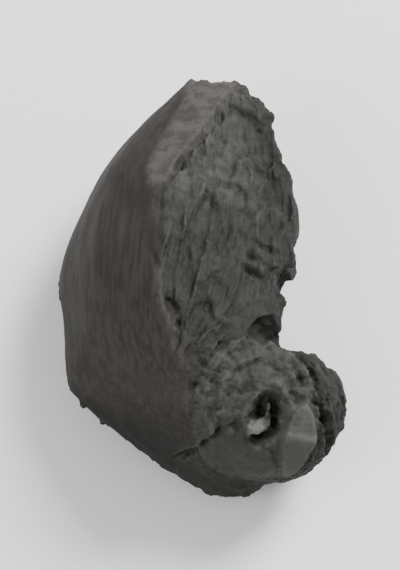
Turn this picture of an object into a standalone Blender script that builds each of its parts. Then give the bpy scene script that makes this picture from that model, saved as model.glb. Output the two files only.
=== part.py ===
"""A lump of charcoal: a short length of branch wood, carbonised and broken out of the pile.

The long side follows Y, which is also the grain. The old outside of the branch is the smooth
curved face on the left. The right of the top is torn along the grain, and a knot with a dark
gap round its core stands on the near right corner. The lump rests on a broken flat at Z = 0.
"""

import math

import bmesh
import bpy
from mathutils import Matrix, Vector, noise

MM = 0.001

# Where the part's own origin stands, right and away: under the middle of the lump's box.
ORIGIN = (0.5, 0.1)

# Corners of the broken chunk in millimetres: right, away from the viewer, up.
BARK_EDGE = [
    (-3.4, 39.6, 22.0),
    (-12.4, 33.8, 19.0),
    (-20.9, 22.0, 15.0),
    (-25.2, 12.5, 13.0),
    (-27.2, 2.0, 12.0),
    (-26.0, -9.0, 11.0),
    (-25.0, -20.6, 9.0),
    (-15.0, -28.4, 7.0),
    (-5.8, -35.4, 5.5),
    (3.0, -39.8, 4.5),
]
BARK_BELLY = [
    (-10.5, 30.0, 25.0),
    (-16.2, 19.5, 25.8),
    (-19.2, 9.0, 26.3),
    (-20.3, -1.0, 26.3),
    (-19.6, -11.0, 25.6),
    (-15.2, -21.5, 24.0),
    (-7.0, -31.0, 21.0),
]
RIDGE = [
    (-1.6, 35.0, 28.2),
    (-8.8, 14.6, 33.2),
    (-7.8, -2.2, 36.2),
    (-6.8, -16.4, 36.4),
    (-3.6, -27.0, 35.0),
    (-1.6, -35.0, 29.5),
    (-0.6, -38.6, 22.5),
]
BAND_EDGE = [
    (4.9, 32.8, 29.5),
    (-6.0, 10.3, 34.9),
]
TORN_EDGE = [
    (-1.1, 43.0, 24.0),
    (8.4, 41.2, 25.5),
    (11.4, 34.6, 27.0),
    (16.6, 27.2, 28.0),
    (18.4, 17.5, 29.5),
    (19.6, 7.0, 30.5),
    (18.8, -4.0, 31.0),
    (15.2, -13.0, 30.5),
    (12.5, -26.0, 28.5),
]
UNDER_EDGE = [
    (-12.0, 12.0, -1.0),
    (-11.5, -12.0, -1.0),
    (-2.0, -25.0, -1.0),
    (8.0, -26.0, -1.0),
    (9.0, -8.0, -1.0),
    (8.0, 13.0, -1.0),
    (3.0, 25.0, -1.0),
    (-6.0, 23.0, -1.0),
]
NEAR_FOOT = [
    (10.0, -39.6, 4.5),
    (18.0, -33.4, 6.0),
]
FAR_END = [
    (-1.5, 40.5, 15.0),
    (8.0, 38.8, 14.0),
]
KNOT_SHOULDER = [
    (4.5, -36.4, 26.8),
]

# The knot is a burl on the near right corner, with a dark gap round its core.
KNOT_CENTRE = Vector((13.4, -27.6, 16.0))
KNOT_AXIS = Vector((0.26, -0.46, 0.85)).normalized()
KNOT_HALF_SIZES = (13.2, 13.4, 13.6)
KNOT_RADIUS = 12.5
KNOT_STRETCH = 1.25
KNOT_FLARE = 45.0
KNOT_RIM = 0.5
KNOT_GRAIN_SHIFT = 60.0
CORE_SEAT = Vector((11.1, -34.6, 26.7))

# The gap, the blade of core in it and the core's heel: places and half sizes across and along
# the grain, and how each one's rim runs, in shares of its half size.
GAP_MIDDLE = (0.95, -0.65)
GAP_HALF_SIZES = (2.6, 5.1)
GAP_RIM = (0.84, 1.04)
GAP_DEPTH = 5.0
GAP_RAGGED = (1.7, 0.12)
GAP_REACH = (-9.0, -6.0)
CORE_MIDDLE = (1.2, -0.1)
CORE_HALF_SIZES = (0.85, 3.5)
CORE_RIM = (0.85, 1.05)
CORE_LEAN = -0.17
CORE_RISE = 0.85
HEEL_MIDDLE = (0.0, -2.5)
HEEL_HALF_SIZES = (1.4, 1.9)
HEEL_RIM = (0.8, 1.1)

# The centre of the branch, well below the lump's right side.
PITH_X = 10.0
PITH_Z = -4.0
RING_STEP = 2.3
RING_WANDER = (9.0, 1.2)
CHECK_COUNT = 5.0
CHECK_LENGTH = 30.0
CHECK_WIDTH = 0.07
CHECK_SEED = 3.3

# Cracks and tears that show from a step away: start, end, half width, depth.
CRACKS = [
    ((7.4, -35.6, 25.1), (4.6, -36.8, 24.5), 0.4, 1.0),
    ((4.6, -36.8, 24.5), (1.8, -37.9, 22.8), 0.45, 1.8),
    ((1.8, -37.9, 22.8), (-0.9, -38.2, 19.4), 0.5, 2.1),
    ((-0.9, -38.2, 19.4), (-3.7, -36.5, 13.4), 0.5, 2.1),
    ((-5.5, -15.0, 36.1), (-3.3, -18.3, 35.4), 0.45, 1.0),
    ((-3.3, -18.3, 35.4), (-2.9, -22.2, 35.1), 0.5, 1.2),
    ((-2.9, -22.2, 35.1), (-3.9, -26.1, 34.7), 0.45, 0.9),
    ((-8.1, -5.9, 35.8), (-7.1, -9.6, 36.0), 0.5, 0.7),
    ((-8.1, 7.1, 34.6), (-7.6, 4.3, 35.2), 0.45, 0.6),
    ((5.1, 30.1, 29.9), (2.0, 24.3, 31.3), 0.6, 1.0),
    ((2.0, 24.3, 31.3), (-1.3, 18.8, 32.7), 0.7, 1.6),
    ((-1.3, 18.8, 32.7), (-5.1, 10.9, 34.6), 0.6, 1.5),
    ((10.4, 18.0, 30.7), (14.1, 14.1, 30.5), 0.7, 1.1),
    ((1.4, 10.8, 33.4), (7.4, 11.3, 32.2), 0.6, 0.6),
    ((0.0, -3.0, 34.6), (0.5, -4.8, 34.6), 0.8, 1.1),
    ((10.4, -1.0, 32.4), (15.6, -3.1, 31.3), 0.45, 1.4),
    ((9.4, -3.9, 32.6), (14.4, -7.5, 31.4), 0.45, 1.5),
    ((9.0, -6.7, 32.8), (12.5, -9.8, 31.8), 0.45, 1.4),
    ((1.1, -12.8, 34.6), (3.5, -20.3, 33.5), 0.5, 1.0),
    ((10.4, -21.1, 30.6), (14.0, -18.0, 29.6), 1.3, 3.0),
    ((17.9, -26.3, 28.4), (19.5, -29.4, 27.8), 0.9, 1.6),
    ((21.2, -30.3, 26.7), (23.3, -32.0, 24.0), 0.5, 1.3),
    ((23.3, -32.0, 24.0), (24.0, -34.6, 20.5), 0.8, 2.6),
    ((24.0, -34.6, 20.5), (23.7, -35.9, 14.4), 0.8, 2.4),
    ((23.7, -35.9, 14.4), (21.6, -37.3, 12.3), 0.6, 1.4),
    ((14.0, -40.3, 20.4), (16.8, -39.5, 10.5), 0.6, 1.0),
    ((-0.6, -31.0, 31.3), (2.5, -32.9, 28.3), 0.7, 1.0),
]

# How cracks waver, taper to their ends and slope down to their floor.
CRACK_WAVER = (2.2, 0.35)
CRACK_TAPER = 0.6
CRACK_FLOOR = 0.1
CRACK_SLOPE = 1.9
CRACK_REACH = 4.0

# Bites broken out of the edges: centre and half sizes.
BITES = [
    ((21.0, -8.6, 28.0), (6.0, 3.4, 12.0)),
    ((20.2, -18.9, 29.5), (9.2, 2.3, 8.0)),
    ((18.5, -14.6, 21.0), (6.5, 4.2, 6.6)),
    ((21.0, 33.6, 25.0), (8.0, 3.6, 11.0)),
    ((22.0, 12.0, 30.5), (4.6, 2.4, 6.0)),
    ((27.0, 0.0, 14.0), (14.0, 16.0, 13.0)),
    ((22.0, -9.0, 16.0), (10.0, 6.5, 10.0)),
    ((22.0, 24.0, 14.0), (10.0, 9.0, 9.0)),
    ((-29.5, -15.5, 6.0), (4.0, 5.5, 6.0)),
    ((-9.0, 45.0, 7.0), (9.0, 7.0, 9.0)),
    ((-4.0, -44.0, 15.0), (5.5, 3.4, 4.2)),
]

# The smooth plate beside the core: its middle and half sizes across and along the grain.
TONGUE_MIDDLE = (7.6, -3.6)
TONGUE_HALF_SIZES = (3.5, 7.4)
TONGUE_TAPER = 0.5
TONGUE_RIM = (0.8, 1.05)
TONGUE_LIFT = 1.1
TONGUE_BORDER = 0.8
TONGUE_RINGS = 0.3
TONGUE_STEP = (-3.0, 0.5)
TONGUE_STEP_WIDTH = 0.9

# Relief in millimetres: sizes are across and along the grain, the rest are heights and depths.
SWELL_SIZE = 14.0
SWELL_HEIGHT = 1.1
BARK_CALM = 0.6
END_CALM = 0.6
END_FACING = (0.7, 0.92)
PLATE_SIZES = (4.6, 10.0)
PLATE_STEP = 0.46
SPLINTER_SIZES = (1.9, 7.0)
SPLINTER_STEP = 0.22
STEP_SLOPE = 0.18
STEP_LEAN = 1.6
LEVEL_SEED = 7.31
LEAN_SEED = 3.7
SEAM_WIDTH = 0.14
SEAM_DEPTH = 0.16
BUMP_SIZES = (4.4, 6.4)
BUMP_HEIGHT = 0.55
FRONT_CALM = 0.85
FRONT_FACING = (0.2, 0.55)
FRONT_TOP = (-26.0, -20.0)
FRONT_START = (24.0, 31.0)
RING_HEIGHT = 0.22
CHECK_DEPTH = 0.7
RIPPLE_SIZES = (3.4, 15.0)
RIPPLE_HEIGHT = 0.22
PIT_SPACING = 4.6
PIT_SIZE = 0.16
PIT_DEPTH = 0.35
KNOT_RING_STEP = 2.7
KNOT_RING_HEIGHT = 0.40
KNOT_WANDER = (5.0, 0.9)
KNOT_ROUGHNESS = 0.45
RAY_COUNT = 2.6
RAY_LENGTH = 16.0
RAY_WIDTH = 0.09
RAY_START = (3.5, 6.0)
RAY_DEPTH = 0.55
KNOT_CRACK_DEPTH = 1.6
KNOT_CRACK_RIM = (0.2, 1.2)
KNOT_CRACK_SIDE = (2.0, 6.0)
KNOT_CRACK_MIDDLE = 3.0
KNOT_CRACK_ENDS = (6.5, 9.5)

# Where the smooth face and the strip beside the ridge start and end: places past the ridge or
# the strip's edge in millimetres, facings as shares, and the strip's ends as shares of its length.
BARK_SIDE = (-1.9, -0.1)
BARK_LOWEST = -0.35
BARK_LOWEST_RUN = 0.3
BARK_ENDS = (0.82, 0.96)
RIM_LOWEST = -0.75
BAND_SIDE = (-0.6, 0.8)
BAND_RIDGE = (-1.4, 0.0)
BAND_NEAR = (-0.08, 0.06)
BAND_FAR = (1.25, 1.45)
BAND_FACING = (0.3, 0.5)

# How finely the surface is built, and how worn its corners are.
SHAPE_VOXEL = 0.6
BROKEN_VOXEL = 0.5
BARK_SMOOTHING = 200
RIM_WEAR = 0.8
BAND_WEAR = 0.9
CORNER_WEAR = 0.16
CREASE = (0.2, 1.5)
BREAK_WEAR = 1
TRIANGLES = 10200
SEAT_SNAP = 0.02


def clamp(value):
    """The value held between 0 and 1."""
    return max(0.0, min(1.0, value))


def ramp(value, start, end):
    """A soft step from 0 at start to 1 at end."""
    share = clamp((value - start) / (end - start))
    return share * share * (3 - 2 * share)


def object_of(name, shape):
    """Turns a bmesh into an object in the scene and frees it."""
    mesh = bpy.data.meshes.new(name)
    shape.to_mesh(mesh)
    shape.free()
    made = bpy.data.objects.new(name, mesh)
    bpy.context.scene.collection.objects.link(made)
    return made


def settle(base):
    """Applies the object's modifiers."""
    graph = bpy.context.evaluated_depsgraph_get()
    made = bpy.data.meshes.new_from_object(base.evaluated_get(graph))
    base.modifiers.clear()
    base.data = made


def hull(name, corners):
    """The convex chunk through these corners."""
    shape = bmesh.new()
    for corner in corners:
        shape.verts.new(corner)
    made = bmesh.ops.convex_hull(shape, input=shape.verts)
    inside = [v for v in made["geom_interior"] if isinstance(v, bmesh.types.BMVert)]
    bmesh.ops.delete(shape, geom=inside, context="VERTS")
    bmesh.ops.recalc_face_normals(shape, faces=shape.faces)
    return object_of(name, shape)


def knot_frame():
    """The knot's own directions: across the grain, along it, and out of the wood."""
    along = (Vector((0, 1, 0)) - KNOT_AXIS * KNOT_AXIS.y).normalized()
    across = along.cross(KNOT_AXIS)
    return Matrix((across, along, KNOT_AXIS)).transposed()


KNOT_FRAME = knot_frame()


def ball(name, centre, half_sizes, turn=None):
    """A stretched ball, for the burl and for the bites."""
    shape = bmesh.new()
    bmesh.ops.create_icosphere(shape, subdivisions=4, radius=1.0)
    bmesh.ops.scale(shape, verts=shape.verts, vec=half_sizes)
    place = Matrix.Translation(centre)
    if turn is not None:
        place = place @ turn.to_4x4()
    bmesh.ops.transform(shape, verts=shape.verts, matrix=place)
    return object_of(name, shape)


def combine(base, other, operation):
    """Joins other to base or cuts it out, and removes it."""
    step = base.modifiers.new(operation, "BOOLEAN")
    step.operation = operation
    step.object = other
    step.solver = "EXACT"
    settle(base)
    bpy.data.objects.remove(other)


def chunk():
    """The whole lump before its surface is roughened, in millimetres."""
    rows = BARK_EDGE + BARK_BELLY + RIDGE + BAND_EDGE + TORN_EDGE + UNDER_EDGE + NEAR_FOOT + FAR_END
    rows += KNOT_SHOULDER
    base = hull("charcoal_lump", [Vector(row) for row in rows])
    combine(base, ball("burl", KNOT_CENTRE, KNOT_HALF_SIZES, KNOT_FRAME), "UNION")
    for centre, half_sizes in BITES:
        combine(base, ball("bite", Vector(centre), half_sizes), "DIFFERENCE")
    return base


def remesh(base, voxel):
    """Even faces all over, in voxels of this size."""
    step = base.modifiers.new("remesh", "REMESH")
    step.mode = "VOXEL"
    step.voxel_size = voxel
    step.adaptivity = 0.0
    settle(base)


def ridge_x(y):
    """Where the smooth face ends and the torn face starts, at this place along the grain."""
    if y >= RIDGE[0][1]:
        return RIDGE[0][0]
    for high, low in zip(RIDGE, RIDGE[1:]):
        if y >= low[1]:
            share = (high[1] - y) / (high[1] - low[1])
            return high[0] + (low[0] - high[0]) * share
    return RIDGE[-1][0]


def bark_share(point, normal, lowest=BARK_LOWEST):
    """How far a place belongs to the smooth outside of the branch, from 0 to 1."""
    left = ramp(ridge_x(point.y) - point.x, *BARK_SIDE)
    upper = ramp(normal.z, lowest, lowest + BARK_LOWEST_RUN)
    ends = 1 - ramp(abs(normal.y), *BARK_ENDS)
    return left * upper * ends


def band_share(point, normal):
    """How far a place belongs to the smooth strip beside the ridge, at the lump's far end."""
    low, high = BAND_EDGE[1], BAND_EDGE[0]
    share = (point.y - low[1]) / (high[1] - low[1])
    edge_x = low[0] + (high[0] - low[0]) * share
    inside = ramp(edge_x - point.x, *BAND_SIDE) * ramp(point.x - ridge_x(point.y), *BAND_RIDGE)
    ends = ramp(share, *BAND_NEAR) * (1 - ramp(share, *BAND_FAR))
    return inside * ends * ramp(normal.z, *BAND_FACING)


def smooth_bark(base):
    """Rounds the smooth face, which the corners leave in flats, and wears the other corners a little."""
    bark = base.vertex_groups.new(name="bark")
    worn = base.vertex_groups.new(name="worn")
    for vertex in base.data.vertices:
        share = bark_share(vertex.co, vertex.normal)
        share = max(share, band_share(vertex.co, vertex.normal) * BAND_WEAR)
        bark.add([vertex.index], share, "REPLACE")
        rim = bark_share(vertex.co, vertex.normal, RIM_LOWEST) * RIM_WEAR
        crease = ramp(abs(ridge_x(vertex.co.y) - vertex.co.x), *CREASE)
        worn.add([vertex.index], max(max(share, rim) * crease, CORNER_WEAR), "REPLACE")
    smooth(base, BARK_SMOOTHING, worn.name)
    base.vertex_groups.remove(base.vertex_groups["worn"])


def smooth(base, rounds, group=""):
    """Evens the surface out, as far as the group says."""
    step = base.modifiers.new("smooth", "SMOOTH")
    step.vertex_group = group
    step.factor = 0.5
    step.iterations = rounds
    settle(base)


def knot_place(point):
    """A point in the knot's own directions, from its core: across, along, out."""
    return KNOT_FRAME.transposed() @ (point - CORE_SEAT)


def knot_distance(local):
    """Distance from the knot's axis, in millimetres across the grain."""
    return math.hypot(local.x, local.y / KNOT_STRETCH)


def knot_reach(local):
    """How far the knot's own wood reaches at this height."""
    return max(1.0, KNOT_RADIUS * (1 + local.z / KNOT_FLARE))


def knot_share(point):
    """1 inside the knot's own wood, 0 in the wood that flows round it."""
    local = knot_place(point)
    reach = knot_reach(local)
    return 1 - ramp(knot_distance(local), reach - KNOT_RIM, reach + KNOT_RIM)


def grain_place(point):
    """The point in the wood's own directions: Y runs along the fibres, which bow round the knot."""
    local = knot_place(point)
    distance = knot_distance(local)
    reach = knot_reach(local)
    if distance < reach:
        return Vector((local.x, local.z + KNOT_GRAIN_SHIFT, local.y))
    pull = (reach / distance) ** 2
    bow = Vector((-local.x * pull, local.y * pull, 0))
    return point + KNOT_FRAME @ bow


def plates(place, sizes):
    """Broken plates along the grain: the level at a place, and how near a plate's border is."""
    across, along = sizes
    spot = Vector((place.x / across, place.y / along, place.z / across))
    distances, centres = noise.voronoi(spot)
    total, weights = 0.0, 0.0
    for distance, centre in zip(distances, centres):
        weight = clamp(1 - (distance - distances[0]) / STEP_SLOPE) ** 2
        if weight > 0:
            level = noise.cell(centre * LEVEL_SEED + Vector((0.37, 0.11, 0.53))) * 2 - 1
            lean = noise.noise(centre * LEAN_SEED) * (spot - centre).x * STEP_LEAN
            total += (level + lean) * weight
            weights += weight
    return total / weights, distances[1] - distances[0]


def grain_noise(place, sizes):
    """Soft bumps of these sizes across and along the grain."""
    across, along = sizes
    return noise.noise(Vector((place.x / across, place.y / along, place.z / across)))


def torn_relief(place):
    """Height of the torn wood: plates, the splinters on them and cracks between them."""
    level, border = plates(place, PLATE_SIZES)
    fine, _ = plates(place + Vector((31, 17, 5)), SPLINTER_SIZES)
    height = level * PLATE_STEP + fine * SPLINTER_STEP
    height -= (1 - ramp(border, 0.0, SEAM_WIDTH)) * SEAM_DEPTH
    return height + grain_noise(place, BUMP_SIZES) * BUMP_HEIGHT


def end_relief(point):
    """Height of a break across the grain: growth rings and checks that run out from the pith."""
    x, z = point.x - PITH_X, point.z - PITH_Z
    radius, angle = math.hypot(x, z), math.atan2(z, x)
    wander = noise.noise(point / RING_WANDER[0]) * RING_WANDER[1]
    rings = math.cos((radius + wander) * math.tau / RING_STEP) * RING_HEIGHT
    check = abs(noise.noise(Vector((angle * CHECK_COUNT, radius / CHECK_LENGTH, CHECK_SEED))))
    return rings - (1 - ramp(check, 0.0, CHECK_WIDTH)) * CHECK_DEPTH


def bark_relief(place):
    """Height of the smooth outside: long low ripples and a few small pits."""
    distances, _ = noise.voronoi(place / PIT_SPACING)
    pit = (1 - ramp(distances[0], 0.0, PIT_SIZE)) * PIT_DEPTH
    return grain_noise(place, RIPPLE_SIZES) * RIPPLE_HEIGHT - pit


def tongue_share(local):
    """How far a place lies on the smooth plate beside the knot's core, which narrows downwards."""
    across = (local.x - TONGUE_MIDDLE[0]) / TONGUE_HALF_SIZES[0]
    along = (local.y - TONGUE_MIDDLE[1]) / TONGUE_HALF_SIZES[1]
    reach = math.hypot(across * (1 - min(along, 0) * TONGUE_TAPER), along)
    return 1 - ramp(reach, *TONGUE_RIM)


def knot_relief(point, rough, calm):
    """Height on the knot: rings and rays round the core, the plate beside it and the crack past that."""
    local = knot_place(point)
    distance = knot_distance(local) + noise.noise(point / KNOT_WANDER[0]) * KNOT_WANDER[1]
    rings = math.cos(distance * math.tau / KNOT_RING_STEP) * KNOT_RING_HEIGHT * calm
    side = ramp(local.x, *KNOT_CRACK_SIDE)
    side *= 1 - ramp(abs(local.y - KNOT_CRACK_MIDDLE), *KNOT_CRACK_ENDS)
    border = 1 - ramp(abs(distance - KNOT_RADIUS), *KNOT_CRACK_RIM)
    angle = math.atan2(local.y / KNOT_STRETCH, local.x)
    spoke = Vector((math.cos(angle) * RAY_COUNT, math.sin(angle) * RAY_COUNT, distance / RAY_LENGTH))
    ray = abs(noise.noise(spoke))
    rays = (1 - ramp(ray, 0.0, RAY_WIDTH)) * ramp(distance, *RAY_START) * RAY_DEPTH * calm
    height = rings + rough * KNOT_ROUGHNESS - rays
    tongue = tongue_share(local)
    level, lift = TONGUE_STEP
    step = math.exp(-(((local.y - level) / TONGUE_STEP_WIDTH) ** 2)) * lift
    height += (TONGUE_LIFT + rings * TONGUE_RINGS + step - height) * tongue
    height -= 4 * tongue * (1 - tongue) * TONGUE_BORDER
    return height - border * side * KNOT_CRACK_DEPTH


def oval_reach(local, middle, half_sizes, lean=0.0):
    """0 at the middle of an oval on the knot's face, 1 on its rim."""
    y = local.y - middle[1]
    x = local.x - middle[0] - y * lean
    return math.hypot(x / half_sizes[0], y / half_sizes[1])


def gap_depth(local):
    """How deep the dark gap round the knot's core is, at a place in the knot's directions."""
    size, height = GAP_RAGGED
    ragged = noise.noise(local / size) * height
    inside = 1 - ramp(oval_reach(local, GAP_MIDDLE, GAP_HALF_SIZES) + ragged, *GAP_RIM)
    core = 1 - ramp(oval_reach(local, CORE_MIDDLE, CORE_HALF_SIZES, CORE_LEAN) - ragged, *CORE_RIM)
    heel = 1 - ramp(oval_reach(local, HEEL_MIDDLE, HEEL_HALF_SIZES), *HEEL_RIM)
    filled = max(core * CORE_RISE, heel)
    return GAP_DEPTH * (1 - filled) * inside * ramp(local.z, *GAP_REACH)


def front_share(point, normal):
    """How far a place lies on the plainer near end, under the knot's face."""
    return ramp(-normal.y, *FRONT_FACING) * ramp(-point.z, *FRONT_TOP) * ramp(-point.y, *FRONT_START)


def crack_depth(point):
    """How deep the named cracks cut at this place."""
    deepest = 0.0
    waver = noise.noise(point / CRACK_WAVER[0]) * CRACK_WAVER[1]
    for start, end, half_width, depth in CRACKS:
        first, last = Vector(start), Vector(end)
        run = last - first
        share = clamp((point - first).dot(run) / run.length_squared)
        away = (point - first - run * share).length
        if away > half_width * CRACK_REACH:
            continue
        taper = 1 - CRACK_TAPER * abs(share * 2 - 1) ** 3
        cut = depth * taper * (1 - ramp(away + waver, CRACK_FLOOR, half_width * CRACK_SLOPE))
        deepest = max(deepest, cut)
    return deepest


def relief(point, normal, bark):
    """How far the surface stands out at this place, in millimetres."""
    place = grain_place(point)
    knot = knot_share(point)
    swell = noise.noise(point / SWELL_SIZE) * SWELL_HEIGHT * (1 - bark * BARK_CALM)
    across = ramp(abs(normal.y), *END_FACING) * (1 - knot)
    rough = torn_relief(place)
    rough += (end_relief(point) - rough * END_CALM) * across
    calm = 1 - front_share(point, normal) * FRONT_CALM
    rough *= calm
    rough += (knot_relief(point, rough, calm) - rough) * knot
    cuts = crack_depth(point) + gap_depth(knot_place(point))
    return swell + rough * (1 - bark) + bark_relief(place) * bark - cuts


def roughen(base):
    """Raises the relief from the surface."""
    mesh = base.data
    bark = [0.0] * len(mesh.vertices)
    for vertex in mesh.vertices:
        for entry in vertex.groups:
            bark[vertex.index] = entry.weight
    moved = [
        v.co + v.normal * relief(v.co, v.normal, bark[v.index]) for v in mesh.vertices
    ]
    for vertex, place in zip(mesh.vertices, moved):
        vertex.co = place
    mesh.update()


def thin_out(base, triangles):
    """Fewer triangles where the surface is plain, down to this many."""
    count = sum(len(face.vertices) - 2 for face in base.data.polygons)
    step = base.modifiers.new("thin", "DECIMATE")
    step.ratio = triangles / count
    settle(base)


def cut_seat(base):
    """Trims what would reach below the surface that the lump stands on."""
    shape = bmesh.new()
    shape.from_mesh(base.data)
    everything = shape.verts[:] + shape.edges[:] + shape.faces[:]
    cut = bmesh.ops.bisect_plane(
        shape,
        geom=everything,
        dist=1e-4,
        plane_co=(0, 0, 0),
        plane_no=(0, 0, 1),
        clear_inner=True,
    )
    rim = [e for e in cut["geom_cut"] if isinstance(e, bmesh.types.BMEdge)]
    bmesh.ops.holes_fill(shape, edges=rim, sides=0)
    bmesh.ops.recalc_face_normals(shape, faces=shape.faces)
    shape.to_mesh(base.data)
    shape.free()


def level_seat(base):
    """Sets the seat's corners, which thinning out may have lifted a hair, back on the surface."""
    for vertex in base.data.vertices:
        if vertex.co.z < SEAT_SNAP:
            vertex.co.z = 0


def drop_scraps(base):
    """Keeps the largest body and drops the crumbs that thinning out leaves."""
    shape = bmesh.new()
    shape.from_mesh(base.data)
    left, bodies = set(shape.verts), []
    while left:
        body = [left.pop()]
        for vertex in body:
            near = [edge.other_vert(vertex) for edge in vertex.link_edges]
            fresh = [other for other in near if other in left]
            left.difference_update(fresh)
            body.extend(fresh)
        bodies.append(body)
    bodies.sort(key=len)
    for crumb in bodies[:-1]:
        bmesh.ops.delete(shape, geom=crumb, context="VERTS")
    shape.to_mesh(base.data)
    shape.free()


def charcoal():
    """Dull grey-black charcoal with a slight brown."""
    material = bpy.data.materials.new("charcoal")
    material.use_nodes = True
    surface = material.node_tree.nodes["Principled BSDF"]
    surface.inputs["Base Color"].default_value = (0.060, 0.057, 0.053, 1.0)
    surface.inputs["Roughness"].default_value = 0.75
    surface.inputs["Metallic"].default_value = 0.0
    return material


def main():
    """Builds the lump."""
    for old in list(bpy.data.objects):
        bpy.data.objects.remove(old)
    lump = chunk()
    remesh(lump, SHAPE_VOXEL)
    smooth_bark(lump)
    roughen(lump)
    remesh(lump, BROKEN_VOXEL)
    smooth(lump, BREAK_WEAR)
    cut_seat(lump)
    thin_out(lump, TRIANGLES)
    level_seat(lump)
    drop_scraps(lump)
    x, y = ORIGIN
    lump.data.transform(Matrix.Scale(MM, 4) @ Matrix.Translation((-x, -y, 0)))
    lump.data.materials.append(charcoal())


main()
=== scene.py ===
"""Dresses a lump of charcoal: a fine broken surface in place of the plain solid, its dull
grey-black finish, a pale floor, soft light and the camera.

The form is worked out in millimetres, with X to the right, Y along the grain and away from the
camera, and Z up. The finished piece is moved to the part's origin and scaled to metres.
"""

import logging
import math
from dataclasses import dataclass
from enum import Enum

import bmesh
import bpy
import numpy as np
from mathutils import Matrix, Vector, noise
from mathutils.kdtree import KDTree


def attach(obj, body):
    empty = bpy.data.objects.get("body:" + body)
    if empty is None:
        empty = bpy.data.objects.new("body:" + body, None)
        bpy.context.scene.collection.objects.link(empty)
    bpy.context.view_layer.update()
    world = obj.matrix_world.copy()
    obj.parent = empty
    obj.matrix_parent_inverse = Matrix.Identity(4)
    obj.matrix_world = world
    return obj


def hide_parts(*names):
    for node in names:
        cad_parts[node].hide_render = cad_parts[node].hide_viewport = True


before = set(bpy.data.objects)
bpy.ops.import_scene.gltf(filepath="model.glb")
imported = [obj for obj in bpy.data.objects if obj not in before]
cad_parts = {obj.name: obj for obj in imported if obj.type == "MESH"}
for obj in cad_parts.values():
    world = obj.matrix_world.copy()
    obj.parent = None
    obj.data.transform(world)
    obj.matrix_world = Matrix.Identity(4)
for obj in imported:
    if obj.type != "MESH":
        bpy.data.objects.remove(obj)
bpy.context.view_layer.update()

LOG = logging.getLogger("charcoal")
MM = 0.001
# where the part's origin lies among the corners below, in millimetres
ORIGIN = (0.5, 0.1)
NODE = "charcoal_lump"
BALL_FINENESS = 4
SMOOTHING = 0.5

Corner = tuple[float, float, float]
Pair = tuple[float, float]
Colour = tuple[float, float, float]
Socket = bpy.types.NodeSocket


class Joining(Enum):
    """How one shape is set against another."""

    ADD = "UNION"
    CUT = "DIFFERENCE"


class Trait(Enum):
    """What the finish reads from each corner of the finished surface."""

    BARK = "bark"
    BAND = "band"
    PALE = "pale"
    FRONT = "front"
    # painted shade on the torn face's near end and right edge and on the smooth face's lower rim, and a
    # darkening towards the smooth face's far end
    PAINTED_SHADE_AND_DARKENING = "soot"
    HOLLOW = "hollow"
    GRAIN = "grain"


def clamp(value: float) -> float:
    """The value held between 0 and 1."""
    return max(0.0, min(1.0, value))


def ramp(value: float, start: float, end: float) -> float:
    """A soft step.

    Args:
        value: Where on the step to read.
        start: Where it is still 0.
        end: Where it has reached 1.

    Returns:
        The height of the step, from 0 to 1.
    """
    share = clamp((value - start) / (end - start))
    return share * share * (3 - 2 * share)


def object_of(name: str, shape: bmesh.types.BMesh) -> bpy.types.Object:
    """Turns a bmesh into an object in the scene and frees it."""
    mesh = bpy.data.meshes.new(name)
    shape.to_mesh(mesh)
    shape.free()
    made = bpy.data.objects.new(name, mesh)
    bpy.context.scene.collection.objects.link(made)
    return made


def settle(base: bpy.types.Object) -> None:
    """Applies the object's modifiers."""
    graph = bpy.context.evaluated_depsgraph_get()
    made = bpy.data.meshes.new_from_object(base.evaluated_get(graph))
    base.modifiers.clear()
    base.data = made


def combine(base: bpy.types.Object, other: bpy.types.Object, joining: Joining) -> None:
    """Joins one shape to another or cuts it out.

    Args:
        base: The shape that is changed.
        other: The shape that is added or cut out, and then removed.
        joining: Whether it is added or cut out.
    """
    step = base.modifiers.new(joining.name, "BOOLEAN")
    step.operation = joining.value
    step.object = other
    step.solver = "EXACT"
    settle(base)
    bpy.data.objects.remove(other)


def remesh(base: bpy.types.Object, voxel: float) -> None:
    """Even faces all over, of this size."""
    step = base.modifiers.new("remesh", "REMESH")
    step.mode = "VOXEL"
    step.voxel_size = voxel
    step.adaptivity = 0.0
    settle(base)


def smooth(base: bpy.types.Object, rounds: int, group: str = "") -> None:
    """Evens the surface out, as far as the vertex group says."""
    step = base.modifiers.new("smooth", "SMOOTH")
    step.vertex_group = group
    step.factor = SMOOTHING
    step.iterations = rounds
    settle(base)


def thin_out(base: bpy.types.Object, triangles: int) -> None:
    """Fewer triangles where the surface is plain, down to this many."""
    count = sum(len(face.vertices) - 2 for face in base.data.polygons)
    if count <= triangles:
        return
    step = base.modifiers.new("thin", "DECIMATE")
    step.ratio = triangles / count
    settle(base)


@dataclass(frozen=True)
class Oval:
    """A soft-rimmed oval on the knot's face, across and along the grain, in millimetres."""

    middle: Pair
    half_sizes: Pair
    rim: Pair
    lean: float = 0.0

    def share(self, local: Vector, ragged: float = 0.0) -> float:
        """How far a place lies in the oval.

        Args:
            local: The place, in the knot's directions.
            ragged: How far its rim draws in there, as a share of its size.

        Returns:
            1 inside, 0 outside.
        """
        y = local.y - self.middle[1]
        x = local.x - self.middle[0] - y * self.lean
        reach = math.hypot(x / self.half_sizes[0], y / self.half_sizes[1])
        return 1 - ramp(reach + ragged, *self.rim)


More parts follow.
